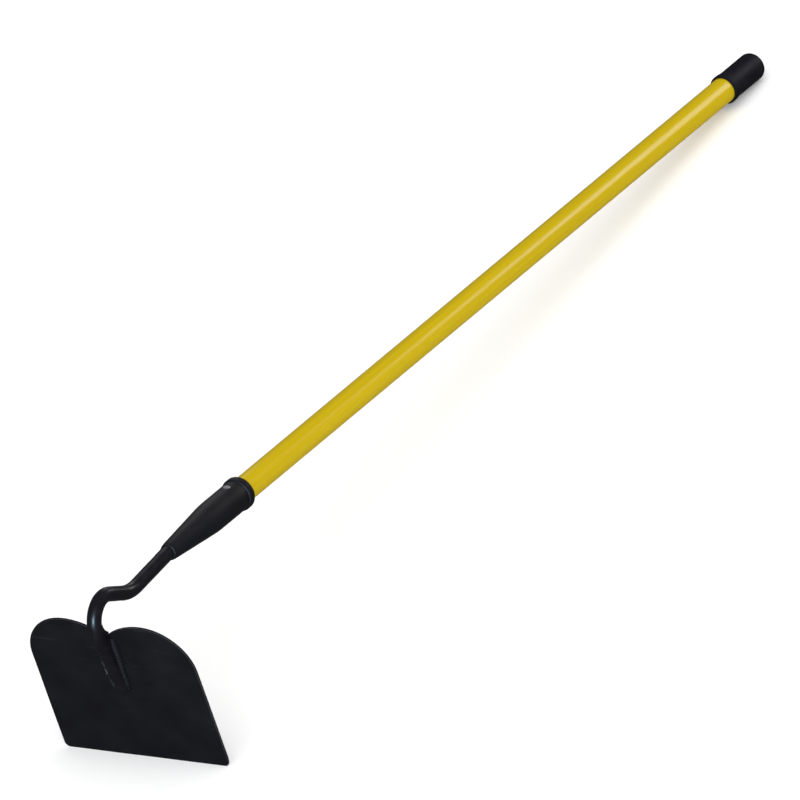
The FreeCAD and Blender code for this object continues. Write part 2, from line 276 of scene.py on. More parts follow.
mirror_box("streak_box", STREAK_ALONG, STREAK_LEAN, STREAK_REACH, STREAK_POWER, STREAK_SIZE)
mirror_box("rim_box", RIM_ALONG, RIM_LEAN, RIM_REACH, RIM_POWER, RIM_SIZE)

# %% Soft box for the crook
CROOK_BOX_PLACE = Vector((-0.85, -0.27, 0.42))
CROOK_BOX_AIM = Vector((0, 0, 0.2))
CROOK_BOX_POWER = 32
CROOK_BOX_COLOUR = (0.55, 0.80, 1.0)
CROOK_BOX_SIZE = 0.35

crook_box = lamp(
    "crook_box",
    "AREA",
    edge_middle + CROOK_BOX_PLACE,
    edge_middle + CROOK_BOX_AIM,
    CROOK_BOX_POWER,
    CROOK_BOX_COLOUR,
)
crook_box.data.size = CROOK_BOX_SIZE
crook_box.visible_diffuse = False

# %% [markdown]
# ## Working in edit mode from code
#
# By hand one would click on edges and faces. In code they are picked by their place, and
# the same operators then act on what is picked. A piece starts as a simple primitive,
# is shaped in edit mode, and is finished by modifiers that are applied at once.

# %% Helpers for modelling
MM = 0.001
MERGE_REACH = 0.00001


def start(name):
    """Names the primitive just added, settles its place in its mesh, and enters edit mode."""
    piece = bpy.context.object
    piece.name = name
    piece.data.name = name
    bpy.ops.object.transform_apply(location=True, rotation=True, scale=True)
    bpy.ops.object.mode_set(mode="EDIT")
    bpy.ops.mesh.select_mode(type="VERT")
    bpy.ops.mesh.select_all(action="SELECT")
    return piece


def pick(test, kind="VERT"):
    """Selects the corners, edges or faces that pass a test, and returns how many."""
    mesh = bpy.context.object.data
    bpy.ops.mesh.select_mode(type=kind)
    bpy.ops.mesh.select_all(action="DESELECT")
    bm = bmesh.from_edit_mesh(mesh)
    parts = {"VERT": bm.verts, "EDGE": bm.edges, "FACE": bm.faces}[kind]
    found = 0
    for part in parts:
        if test(part):
            part.select_set(True)
            found += 1
    bm.select_flush_mode()
    bmesh.update_edit_mesh(mesh)
    return found


def tidy_mesh():
    """Joins doubled corners, drops faces buried inside and turns the rest outwards."""
    bpy.ops.mesh.select_all(action="SELECT")
    bpy.ops.mesh.remove_doubles(threshold=MERGE_REACH)
    bpy.ops.mesh.select_all(action="DESELECT")
    bpy.ops.mesh.select_interior_faces()
    bpy.ops.mesh.delete(type="FACE")
    bpy.ops.mesh.select_all(action="SELECT")
    bpy.ops.mesh.normals_make_consistent(inside=False)


def modify(piece, kind, **settings):
    """Adds a modifier, sets it and applies it."""
    bpy.context.view_layer.objects.active = piece
    modifier = piece.modifiers.new(kind.lower(), kind)
    for name, value in settings.items():
        setattr(modifier, name, value)
    bpy.ops.object.modifier_apply(modifier=modifier.name)


def finish_piece(piece, matrix, angle=35):
    """Leaves edit mode, moves the mesh to the tool's frame and smooths its shading."""
    if bpy.context.object.mode == "EDIT":
        bpy.ops.object.mode_set(mode="OBJECT")
    bpy.ops.object.select_all(action="DESELECT")
    piece.select_set(True)
    bpy.context.view_layer.objects.active = piece
    piece.matrix_world = matrix
    bpy.ops.object.transform_apply(location=True, rotation=True, scale=True)
    bpy.ops.object.shade_smooth_by_angle(angle=math.radians(angle))
    low = [min(v.co[i] for v in piece.data.vertices) for i in range(3)]
    high = [max(v.co[i] for v in piece.data.vertices) for i in range(3)]
    size = [round(1000 * (b - a), 1) for a, b in zip(low, high)]
    print(piece.name, "faces", len(piece.data.polygons), "size in mm", size)


# %% [markdown]
# ## Turned pieces
#
# The tube, the cap and the ferrule are round all the way along, so one helper turns
# them all. It adds a circle, then extrudes it and resizes it from station to station
# along the handle, down the outside and back up the inside, as one would by hand with
# the extrude and scale keys. The last ring meets the first, so the wall is closed.

# %% Helper for turned pieces
def round_off(x, radius, size, start_angle, end_angle, steps):
    """Stations along a rounded edge, as (place, radius) pairs."""
    stations = []
    for step in range(steps + 1):
        turn = math.radians(start_angle + (end_angle - start_angle) * step / steps)
        stations.append((x + size * math.cos(turn), radius + size * math.sin(turn)))
    return stations


def turned(name, stations, sides=96):
    """A closed shell turned about the handle's axis through a list of stations."""
    bpy.ops.object.select_all(action="DESELECT")
    x, radius = stations[0]
    bpy.ops.mesh.primitive_circle_add(
        vertices=sides, radius=radius, location=(x, 0, 0), rotation=(0, math.pi / 2, 0)
    )
    piece = start(name)
    for next_x, next_radius in stations[1:]:
        bpy.ops.mesh.extrude_region_move(
            TRANSFORM_OT_translate={"value": (next_x - x, 0, 0)}
        )
        ratio = next_radius / radius
        bpy.ops.transform.resize(value=(1, ratio, ratio), center_override=(next_x, 0, 0))
        x, radius = next_x, next_radius
    return piece


# %% [markdown]
# ## The handle tube
#
# The tube is pultruded fibreglass: glass strands are pulled through resin and a hot die,
# so its diameter never changes, and its surface shows very faint lines along its length.
# A circle drawn out to the tube's length gives the shape. The wall is real, with a
# small chamfer at each cut end, because a sawn tube is always deburred.

# %% Make the tube
TUBE_RADIUS = 15 * MM
TUBE_WALL = 3 * MM
CUT_CHAMFER = 0.4 * MM
TUBE_STEPS = 12

tube_start, tube_end = node_span("handle_tube", mouth, handle_way)
bore = TUBE_RADIUS - TUBE_WALL


def tube_stations():
    """Out along the outside with a chamfer at each end, then back through the bore."""
    length = tube_end - tube_start
    steps = range(1, TUBE_STEPS)
    outside = [(tube_start + length * k / TUBE_STEPS, TUBE_RADIUS) for k in steps]
    first = [(tube_start, TUBE_RADIUS - CUT_CHAMFER), (tube_start + CUT_CHAMFER, TUBE_RADIUS)]
    last = [(tube_end - CUT_CHAMFER, TUBE_RADIUS), (tube_end, TUBE_RADIUS - CUT_CHAMFER)]
    inside = [(tube_end, bore), (tube_start, bore), (tube_start, TUBE_RADIUS - CUT_CHAMFER)]
    return first + outside + last + inside


tube = turned("fibreglass_tube", tube_stations(), sides=128)
tidy_mesh()
finish_piece(tube, HANDLE)

# %% [markdown]
# ## The end cap
#
# The cap is dipped vinyl: soft, matt, a snug fit on the tube, with a thicker rolled lip
# where it was peeled off its mould, and a well rounded closed end. It is turned too. The
# closed end is drawn down to a small ring, and the ring is filled.

# %% Make the cap
CAP_GAP = 0.1 * MM
CAP_WALL = 1.6 * MM
CAP_END_WALL = 3.0 * MM
CAP_LIP_RISE = 0.9 * MM
CAP_LIP_WIDTH = 7.0 * MM
CAP_LIP_ROUND = 1.6 * MM
CAP_LIP_FADE = 7.0 * MM
CAP_END_ROUND = 6.5 * MM
CAP_POLE = 0.4 * MM
CAP_FADE_SHARES = (0.15, 0.3, 0.5, 0.7, 0.85, 1.0)
END_DISC_STEP = 0.35 * MM

cap_start, cap_end = node_span("end_cap", mouth, handle_way)
cap_bore = TUBE_RADIUS + CAP_GAP
cap_radius = cap_bore + CAP_WALL
cap_lip = cap_radius + CAP_LIP_RISE


def cap_stations():
    """From the pole inside the cap, out over the lip, and along to the pole outside."""
    lip_end = cap_start + CAP_LIP_WIDTH
    inner_end = cap_end - CAP_END_WALL
    flat = cap_radius - CAP_END_ROUND
    inside = [(inner_end, CAP_POLE), (inner_end, cap_bore), (cap_start, cap_bore)]
    lip_centre = (cap_start + CAP_LIP_ROUND, cap_lip - CAP_LIP_ROUND)
    lip = round_off(*lip_centre, CAP_LIP_ROUND, 180, 90, 6)
    fade = [(lip_end, cap_lip)]
    for share in CAP_FADE_SHARES:
        drop = share * share * (3 - 2 * share)
        fade.append((lip_end + share * CAP_LIP_FADE, cap_lip - drop * CAP_LIP_RISE))
    lip_end += CAP_LIP_FADE
    body_end = cap_end - CAP_END_ROUND
    body = [(lip_end + (body_end - lip_end) * k / 6, cap_radius) for k in range(1, 6)]
    end = round_off(body_end, flat, CAP_END_ROUND, 90, 0, 12)
    disc = [(cap_end, flat * 0.9)]
    disc += [(cap_end - END_DISC_STEP, ring) for ring in (flat * 0.86, flat * 0.4, CAP_POLE)]
    return inside + lip + fade + body + end + disc


cap = turned("grip_cap", cap_stations())
holes = pick(lambda edge: edge.is_boundary, "EDGE")
bpy.ops.mesh.fill_holes(sides=0)
tidy_mesh()
finish_piece(cap, HANDLE)
print("open edges closed at the two poles:", holes)

# %% [markdown]
# ## The ferrule
#
# The ferrule is moulded nylon. It grips the tube in a straight socket with a rolled
# collar at its mouth, then tapers in a long cone to a blunt nose round the steel neck.
# Where two stretches meet, the mould is rounded, so the stations there run through a
# gentle curve. A round recess for the rivet's head is cut on each side with a Boolean.

# %% Make the ferrule
SOCKET_GAP = 0.15 * MM
FERRULE_WALL = 3.2 * MM
FERRULE_STRAIGHT = 69.5 * MM
FERRULE_CONE = 79.0 * MM
NOSE_LENGTH = 11.0 * MM
NOSE_LIP = 0.9 * MM
NOSE_WALL = 2.6 * MM
COLLAR_RISE = 1.6 * MM
COLLAR_WIDTH = 11.0 * MM
COLLAR_ROUND = 3.0 * MM
COLLAR_GROOVE = 0.35 * MM
GROOVE_START = 0.3 * MM
GROOVE_END = 1.2 * MM
SOCKET_RINGS = (-30 * MM, -45 * MM)
SHOULDER_ROUND = 9 * MM
CONE_FOOT_ROUND = 4 * MM
NOSE_ROUND = 2.5 * MM
BAR_RADIUS = 8.6 * MM
TANG_GAP = 0.15 * MM

socket = TUBE_RADIUS + SOCKET_GAP
ferrule_radius = socket + FERRULE_WALL
collar_radius = ferrule_radius + COLLAR_RISE
neck_hole = BAR_RADIUS + TANG_GAP
nose_radius = neck_hole + NOSE_WALL
cone_end = -(FERRULE_STRAIGHT + FERRULE_CONE)
nose_end = cone_end - NOSE_LENGTH


def blend_corner(before, corner, after, reach, steps=5):
    """Stations that round the corner between two straight stretches of a profile."""
    before, corner, after = Vector(before), Vector(corner), Vector(after)
    entry = corner + (before - corner).normalized() * reach
    leave = corner + (after - corner).normalized() * reach
    rounded = []
    for step in range(steps + 1):
        share = step / steps
        spot = entry.lerp(corner, share).lerp(corner.lerp(leave, share), share)
        rounded.append(tuple(spot))
    return rounded


def ferrule_stations():
    """From the mouth's inner edge over the collar to the nose, and back up the cavity."""
    rim = round_off(-COLLAR_ROUND, collar_radius - COLLAR_ROUND, COLLAR_ROUND, 0, 90, 8)
    heel = round_off(
        COLLAR_ROUND - COLLAR_WIDTH, collar_radius - COLLAR_ROUND, COLLAR_ROUND, 90, 155, 6
    )
    shoulder = (-FERRULE_STRAIGHT, ferrule_radius)
    cone_foot = (cone_end, nose_radius)
    straight = [
        (-COLLAR_WIDTH - GROOVE_START, ferrule_radius - COLLAR_GROOVE),
        (-COLLAR_WIDTH - GROOVE_END, ferrule_radius),
    ]
    straight += [(ring, ferrule_radius) for ring in SOCKET_RINGS]
    bend = blend_corner(straight[-1], shoulder, cone_foot, SHOULDER_ROUND)
    cone_middle = [tuple(Vector(bend[-1]).lerp(Vector(cone_foot), k / 4)) for k in (1, 2, 3)]
    tip = (nose_end, neck_hole + NOSE_LIP)
    nose_mid = (cone_end - 0.65 * NOSE_LENGTH, tip[1] + 0.6 * (nose_radius - tip[1]))
    nose = blend_corner(cone_middle[-1], cone_foot, nose_mid, CONE_FOOT_ROUND, 4)
    nose += blend_corner(cone_foot, nose_mid, tip, NOSE_ROUND, 3)
    nose += [(nose_end + 0.4 * MM, tip[1] + 0.1 * MM), (nose_end, tip[1] - 0.5 * MM)]
    cavity = [
        (nose_end, neck_hole),
        (cone_end, neck_hole),
        (tube_start, bore),
        (tube_start, socket),
        (0, socket),
        (0, collar_radius - COLLAR_ROUND),
    ]
    return rim + heel + straight + bend + cone_middle + nose + cavity


ferrule = turned("moulded_ferrule", ferrule_stations())
tidy_mesh()
bpy.ops.object.mode_set(mode="OBJECT")
print("ferrule stations", len(ferrule_stations()))

# %% Cut the recesses for the rivet's heads
RIVET_PLACE = -26.0 * MM
RIVET_RADIUS = 2.5 * MM
HEAD_RADIUS = 4.35 * MM
HEAD_HEIGHT = 1.6 * MM
HEAD_PROUD = 0.5 * MM
RIVET_GAP = 0.1 * MM
rivet_seat = ferrule_radius + HEAD_PROUD - HEAD_HEIGHT

bpy.ops.object.select_all(action="DESELECT")
bpy.ops.mesh.primitive_cylinder_add(
    vertices=48,
    radius=HEAD_RADIUS + RIVET_GAP,
    depth=2 * collar_radius,
    location=(RIVET_PLACE, 0, rivet_seat + collar_radius),
)
cutter = start("recess_cutter")
across = (0, 0, -2 * (rivet_seat + collar_radius))
bpy.ops.mesh.duplicate_move(TRANSFORM_OT_translate={"value": across})
tidy_mesh()
bpy.ops.object.mode_set(mode="OBJECT")
modify(ferrule, "BOOLEAN", object=cutter, operation="DIFFERENCE", solver="EXACT")
bpy.data.objects.remove(cutter)
finish_piece(ferrule, HANDLE, angle=32)

# %% [markdown]
# ## The cross rivet
#
# A rivet holds ferrule, tube and tang together. Its shank is round bar, and each head is
# set by a punch, which leaves a shallow dish with a rounded rim. One end is shaped from
# a cylinder by extruding and resizing its end face, with an inset for the dish, and the
# other end gets the same treatment. A head's profile is a list of rises in millimetres,
# each with the ratio by which the face shrinks.

# %% Make the rivet
HEAD_SIDES = 48
HEAD_PROFILE = ((0.8, 1.0), (0.45, 0.93), (0.27, 0.86), (0.08, 0.8))
HEAD_RIM = 0.6 * MM
DISH_DEPTH = 0.12 * MM

bpy.ops.object.select_all(action="DESELECT")
bpy.ops.mesh.primitive_cylinder_add(
    vertices=HEAD_SIDES, radius=RIVET_RADIUS, depth=2 * rivet_seat, location=(RIVET_PLACE, 0, 0)
)
rivet = start("cross_rivet")
for side in (1, -1):
    level = side * rivet_seat
    pick(lambda face: abs(face.calc_center_median().z - level) < 1e-6, "FACE")
    bpy.ops.mesh.extrude_region_move(TRANSFORM_OT_translate={"value": (0, 0, 0)})
    wide = HEAD_RADIUS / RIVET_RADIUS
    centre = (RIVET_PLACE, 0, level)
    bpy.ops.transform.resize(value=(wide, wide, 1), center_override=centre)
    for rise, ratio in HEAD_PROFILE:
        step = side * rise * MM
        bpy.ops.mesh.extrude_region_move(TRANSFORM_OT_translate={"value": (0, 0, step)})
        bpy.ops.transform.resize(value=(ratio, ratio, 1), center_override=centre)
    bpy.ops.mesh.inset(thickness=HEAD_RIM, depth=-DISH_DEPTH)
tidy_mesh()
finish_piece(rivet, HANDLE, angle=40)

# %% [markdown]
# ## The blade
#
# The blade is stamped from flat plate. Its outline is drawn in the blade frame from one
# point at the notch: the point is spun round the lobe's two arcs, pushed down the side,
# spun round the bottom corner and pushed to the middle. The other half is its mirror
# copy. The filled outline is extruded to the plate's thickness, and a slanted cut at the
# back grinds the cutting edge. A fine bevel softens the rim. The small faces round the
# plate get a mark of their own, an attribute, so that their paint can look rubbed and
# carry a painted highlight. At last the plate is cut into a grid, which lets it take a
# faint waviness from the press.

# %% Draw the blade's outline
BLADE_HALF = 108.5 * MM
BLADE_HEIGHT = 195.5 * MM
LOBE_RADIUS = 58.0 * MM
NOTCH_DEPTH = 19.5 * MM
CORNER_RADIUS = 7.0 * MM
BEVEL_LENGTH = 12.0 * MM
EDGE_LAND = 0.8 * MM

notch_up = BLADE_HEIGHT - NOTCH_DEPTH
lobe_x = BLADE_HALF - LOBE_RADIUS
inner_radius = (lobe_x**2 + NOTCH_DEPTH**2) / (2 * NOTCH_DEPTH)
inner_sweep = math.asin(lobe_x / inner_radius)


def sweep(centre, axis, angle, steps):
    """Spins what is selected by an angle, counter-clockwise about an axis."""
    bpy.ops.mesh.spin(steps=steps, angle=-angle, center=centre, axis=axis)


def push(x, y, z):
    """Extrudes what is selected by a distance."""
    bpy.ops.mesh.extrude_region_move(TRANSFORM_OT_translate={"value": (x, y, z)})


bpy.ops.object.select_all(action="DESELECT")
bpy.ops.mesh.primitive_plane_add(size=1 * MM, location=(0, notch_up, 0))
blade = start("pressed_blade")
bpy.ops.mesh.merge(type="CENTER")
UP_Z = (0, 0, 1)
quarter = math.pi / 2
sweep((lobe_x, BLADE_HEIGHT - inner_radius, 0), UP_Z, -inner_sweep, 20)
sweep((lobe_x, BLADE_HEIGHT - LOBE_RADIUS, 0), UP_Z, -quarter, 32)
push(0, CORNER_RADIUS - (BLADE_HEIGHT - LOBE_RADIUS), 0)
sweep((BLADE_HALF - CORNER_RADIUS, CORNER_RADIUS, 0), UP_Z, -quarter, 10)
push(CORNER_RADIUS - BLADE_HALF, 0, 0)
bpy.ops.mesh.select_all(action="SELECT")
bpy.ops.mesh.duplicate()
bpy.ops.transform.resize(value=(-1, 1, 1), center_override=(0, 0, 0))
bpy.ops.mesh.select_all(action="SELECT")
bpy.ops.mesh.remove_doubles(threshold=0.01 * MM)
bpy.ops.mesh.edge_face_add()
bpy.ops.object.mode_set(mode="OBJECT")
print("outline corners", len(blade.data.vertices), "faces", len(blade.data.polygons))

# %% Give the blade its thickness and its ground edge
RIM_SOFTNESS = 0.38 * MM
RIM_SHARPNESS = math.radians(50)
RIM_AREA = 0.0002
GRID = 9 * MM
bpy.ops.object.mode_set(mode="EDIT")
bpy.ops.mesh.select_all(action="SELECT")
push(0, 0, -PLATE)
tidy_mesh()
grind = Vector((0, -(PLATE - EDGE_LAND), -BEVEL_LENGTH)).normalized()
bpy.ops.mesh.bisect(
    plane_co=(0, 0, -EDGE_LAND), plane_no=grind, use_fill=True, clear_outer=True
)
bpy.ops.mesh.select_mode(type="EDGE")
bpy.ops.mesh.select_all(action="DESELECT")
bpy.ops.mesh.edges_select_sharp(sharpness=RIM_SHARPNESS)
bpy.ops.mesh.bevel(offset=RIM_SOFTNESS, segments=3)
bm = bmesh.from_edit_mesh(blade.data)
# Marks the rim faces, whose paint is drawn rubbed and with a painted highlight.
rubbed_lit_layer = bm.faces.layers.float.new("rubbed_and_lit_rim")
rim_faces = [face for face in bm.faces if face.select and face.calc_area() < RIM_AREA]
for face in rim_faces:
    face[rubbed_lit_layer] = 1.0
print("rim faces", len(rim_faces))
bmesh.update_edit_mesh(blade.data)
for lines, axis in ((int(2 * BLADE_HALF / GRID), 0), (int(BLADE_HEIGHT / GRID), 1)):
    for k in range(1, lines + 1):
        way = Vector((0, 0, 0))
        way[axis] = 1
        spot = way * (k * GRID - (BLADE_HALF if axis == 0 else 0))
        bpy.ops.mesh.select_all(action="SELECT")
        bpy.ops.mesh.bisect(plane_co=spot, plane_no=way)
tidy_mesh()
bpy.ops.object.mode_set(mode="OBJECT")

# %% Press a faint waviness into the plate
WAVE_SIZE = 45 * MM
WAVE_DEPTH = 0.3 * MM
press = bpy.data.textures.new("press_waves", "CLOUDS")
press.noise_scale = WAVE_SIZE
modify(blade, "DISPLACE", texture=press, strength=WAVE_DEPTH, mid_level=1.0)
finish_piece(blade, BLADE, angle=40)
modify(blade, "WEIGHTED_NORMAL", keep_sharp=True)

# %% [markdown]
# ## The gooseneck
#
# The neck is one forging. Seen from its toe, it is a flat tongue that thickens up the
# blade's face, becomes a round bar, rises over the blade in a crook, dips, and runs
# straight into the ferrule. It is drawn in that order, from a circle at the toe: each
# stretch is an extrusion with a resize, and each bend is a spin. Where the tongue lies
# on the plate, everything below the face is then scaled flat.

# %% Draw the tongue
TONGUE_BELOW_NOTCH = 3.0 * MM
TONGUE_LENGTH = 74.5 * MM
TONGUE_HALF = 9.0 * MM
TONGUE_CROWN = 18.5 * MM
TOE_HALF = 8.0 * MM
TOE_CROWN = 6.0 * MM
TOE_LENGTH = 3.0 * MM
TOE_TIP = (0.0, 5.6 * MM, -0.8 * MM, 3.0 * MM)
TOE_SHOULDER = (1.0 * MM, 7.0 * MM, -1.3 * MM, 4.7 * MM)
UNDERCUT = 0.28
BAR_STANDOFF = 2.75 * MM
BAR_ABOVE_NOTCH = 7.0 * MM
BAR_SIDES = 40
TONGUE_STEPS = 16
ROUNDING_SHARES = (0.35, 0.7, 1.0)

tongue_top = notch_up - TONGUE_BELOW_NOTCH
tongue_toe = tongue_top - TONGUE_LENGTH
bar_height = notch_up + BAR_ABOVE_NOTCH
bar_out = BAR_RADIUS + BAR_STANDOFF


def tongue_stations():
    """Each section of the tongue: height, half width, underside and crown."""
    toe = [(tongue_toe + rise, *section) for rise, *section in (TOE_TIP, TOE_SHOULDER)]
    made = []
    for step in range(TONGUE_STEPS + 1):
        share = step / TONGUE_STEPS
        up = tongue_toe + TOE_LENGTH + (TONGUE_LENGTH - TOE_LENGTH) * share
        half = TOE_HALF + (TONGUE_HALF - TOE_HALF) * share
        crown = TOE_CROWN + (TONGUE_CROWN - TOE_CROWN) * share
        made.append((up, half, -UNDERCUT * crown, crown))
    round_bar = (bar_height, BAR_RADIUS, BAR_STANDOFF, bar_out + BAR_RADIUS)
    last = made[-1]
    turning = []
    for share in ROUNDING_SHARES:
        turning.append(tuple(a + (b - a) * share for a, b in zip(last, round_bar)))
    return toe + made + turning


sections = tongue_stations()
up, half, low, crown = sections[0]
bpy.ops.object.select_all(action="DESELECT")
bpy.ops.mesh.primitive_circle_add(
    vertices=BAR_SIDES,
    radius=half,
    location=(0, up, (low + crown) / 2),
    rotation=(math.pi / 2, 0, 0),
)
neck = start("forged_gooseneck")
squat = (crown - low) / (2 * half)
bpy.ops.transform.resize(value=(1, 1, squat), center_override=(0, up, (low + crown) / 2))
for next_up, next_half, next_low, next_crown in sections[1:]:
    centre = (next_low + next_crown) / 2
    push(0, next_up - up, centre - (low + crown) / 2)
    taller = (next_crown - next_low) / (crown - low)
    bpy.ops.transform.resize(
        value=(next_half / half, 1, taller), center_override=(0, next_up, centre)
    )
    up, half, low, crown = next_up, next_half, next_low, next_crown
print("tongue sections", len(sections))

# %% Bend the bar over the crook and into the handle
TANG_REACH = 25.0 * MM
TANG_CHAMFER = 1.5 * MM
NECK_TILT, NECK_TILT_RADIUS = math.radians(6.2), 30.0 * MM
NECK_RUN = 67.6 * MM
RISE_ANGLE, RISE_RADIUS = math.radians(29.6), 55.0 * MM
RISE_RUN = 31.1 * MM
CROOK_ANGLE, CROOK_RADIUS = math.radians(128.4), 26.0 * MM
CROOK_DROP = 10.0 * MM
RING_GAP = 4.0 * MM

bar = {"point": Vector((0, bar_height, bar_out)), "heading": 0.0}


def heading_way():
    """The direction in which the bar runs on."""
    return Vector((0, math.cos(bar["heading"]), math.sin(bar["heading"])))


def heading_side():
    """The direction square to the bar, in the plane of its bends."""
    return Vector((0, -math.sin(bar["heading"]), math.cos(bar["heading"])))


def bar_run(length):
    """Extrudes the bar straight on, with rings at even distances."""
    count = max(1, round(length / RING_GAP))
    for _ in range(count):
        push(*(heading_way() * (length / count)))
    bar["point"] = bar["point"] + heading_way() * length


def bar_bend(radius, angle):
    """Spins the bar round a centre at one side, positive towards the blade's outside."""
    side = math.copysign(1, angle)
    centre = bar["point"] + heading_side() * side * radius
    steps = max(2, round(abs(angle) * radius / (0.75 * RING_GAP)))
    sweep(centre, (1, 0, 0), angle, steps)
    bar["heading"] += angle
    bar["point"] = centre - heading_side() * side * radius


bar_run(CROOK_DROP)
bar_bend(CROOK_RADIUS, -CROOK_ANGLE)
bar_run(RISE_RUN)
bar_bend(RISE_RADIUS, RISE_ANGLE)
bar_run(NECK_RUN)
bar_bend(NECK_TILT_RADIUS, -NECK_TILT)
bar_run(TANG_REACH - TANG_CHAMFER - nose_end)
push(*(heading_way() * TANG_CHAMFER))
slim = (BAR_RADIUS - TANG_CHAMFER) / BAR_RADIUS
bpy.ops.transform.resize(
    value=(slim, slim, slim), center_override=bar["point"] + heading_way() * TANG_CHAMFER
)
miss = (BLADE @ bar["point"]) - (HANDLE @ Vector((TANG_REACH - TANG_CHAMFER, 0, 0)))
print("the tang's end misses the handle's axis by", round(miss.length * 1000, 3), "mm")

# %% Flatten the tongue on the plate and roughen the forging
HAMMER_SIZE = 14 * MM
HAMMER_DEPTH = 0.45 * MM
flat = pick(lambda v: v.co.y < bar_height and -PLATE * 4 < v.co.z < 0)
bpy.ops.transform.resize(value=(1, 1, 0), center_override=(0, 0, 0))
pick(lambda edge: edge.is_boundary, "EDGE")
bpy.ops.mesh.fill_holes(sides=0)
tidy_mesh()
bpy.ops.object.mode_set(mode="OBJECT")
modify(neck, "SUBSURF", levels=1, render_levels=1)
hammer = bpy.data.textures.new("hammer_marks", "CLOUDS")
hammer.noise_scale = HAMMER_SIZE
modify(neck, "DISPLACE", texture=hammer, strength=HAMMER_DEPTH, mid_level=0.75)
finish_piece(neck, BLADE, angle=50)
print("corners flattened on the plate:", flat)

# %% [markdown]
# ## The weld beads
#
# A bead is laid down as a row of small pools, each freezing on the last, so it looks
# like a stack of tilted coins. One pool is made from a sphere and copied down the seam,
# with small changes in size that come from a seeded generator. The pools are smaller
# where the seam starts and ends. A Remesh modifier melts the row into one skin, and a cut
# just under the plate's face closes it underneath. The left bead is the fatter and the
# rougher one.

# %% Make the two beads
LEFT_LEGS = (7.6 * MM, 6.2 * MM)
RIGHT_LEGS = (6.0 * MM, 4.0 * MM)
BEAD_START = 1.5 * MM
BEAD_TAPER = 4
BEAD_END_WIDTH = 0.6
TOE_TAPER_PACE = 1.5
POOL_GAP = 2.5 * MM
POOL_LENGTH = 1.9 * MM
POOL_LEAN = math.radians(24)
POOL_WIDEST = 1.02
POOL_WANDER = (-0.3, 0.2)
BEAD_VOXEL = 0.42 * MM
SUNK = 0.15 * MM


def seam_place(share, legs):
    """Half the tongue's width, the height and the bead's leg, from the top to the toe."""
    height = tongue_top + BEAD_START - (TONGUE_LENGTH + BEAD_START - 2 * MM) * share
    half = TONGUE_HALF + (TOE_HALF - TONGUE_HALF) * share
    return half, height, legs[0] + (legs[1] - legs[0]) * share


def make_bead(name, side, seed, legs, evenness):
    """A row of tilted pools. An evenness of 1 gives pools of one size."""
    dice = random.Random(seed)
    half, height, leg = seam_place(0, legs)
    spot = Vector((side * half, height, 0))
    bpy.ops.object.select_all(action="DESELECT")
    bpy.ops.mesh.primitive_uv_sphere_add(segments=20, ring_count=12, radius=1, location=spot)
    bead = start(name)
    width = leg * BEAD_END_WIDTH
    bpy.ops.transform.resize(value=(width, POOL_LENGTH, width), center_override=spot)
    bpy.ops.transform.rotate(value=POOL_LEAN, orient_axis="X", center_override=spot)
    count = round((TONGUE_LENGTH + BEAD_START) / POOL_GAP)
    for k in range(1, count + 1):
        half, height, leg = seam_place(k / count, legs)
        from_end = min(k, TOE_TAPER_PACE * (count - k))
        slimmer = min(1.0, BEAD_END_WIDTH + (1 - BEAD_END_WIDTH) * from_end / BEAD_TAPER)
        next_width = leg * slimmer * dice.uniform(evenness, POOL_WIDEST)
        next_spot = Vector((side * (half + dice.uniform(*POOL_WANDER) * MM), height, 0))
        bpy.ops.mesh.duplicate_move(TRANSFORM_OT_translate={"value": next_spot - spot})
        ratio = next_width / width
        bpy.ops.transform.resize(value=(ratio, 1, ratio), center_override=next_spot)
        spot, width = next_spot, next_width
    bpy.ops.object.mode_set(mode="OBJECT")
    modify(bead, "REMESH", mode="VOXEL", voxel_size=BEAD_VOXEL)
    modify(bead, "SMOOTH", factor=0.5, iterations=2)
    bpy.ops.object.mode_set(mode="EDIT")
    bpy.ops.mesh.select_all(action="SELECT")
    bpy.ops.mesh.bisect(
        plane_co=(0, 0, -SUNK), plane_no=(0, 0, -1), use_fill=True, clear_outer=True
    )
    return bead


left_bead = make_bead("left_weld_bead", -1, 3, LEFT_LEGS, 0.8)
tidy_mesh()
finish_piece(left_bead, BLADE, angle=60)
right_bead = make_bead("right_weld_bead", 1, 8, RIGHT_LEGS, 0.93)

# %% Add a few drops of spatter on the plate
SPATTER = [(19.5, 161.0, 1.1), (21.5, 149.0, 0.6), (-20.5, 158.0, 0.7), (17.5, 128.0, 0.6)]
DROP_SQUASH = 0.6
for across, height, size in SPATTER:
    spot = Vector((across, height, 0)) * MM
    bpy.ops.mesh.select_all(action="DESELECT")
    bpy.ops.mesh.primitive_uv_sphere_add(
        segments=16, ring_count=8, radius=size * MM, location=spot
    )
    bpy.ops.transform.resize(value=(1, 1, DROP_SQUASH), center_override=spot)
tidy_mesh()
finish_piece(right_bead, BLADE, angle=60)
print("drops of spatter", len(SPATTER))

# %% [markdown]
# ## The weld in the notch
#
# Behind the bar the welder filled the notch and ran the weld up the bar's back. Its
# outline in the CAD is right, so a copy of that mesh is merged and melted into an even
# skin, and a small displacement gives it the lumps of a weld.

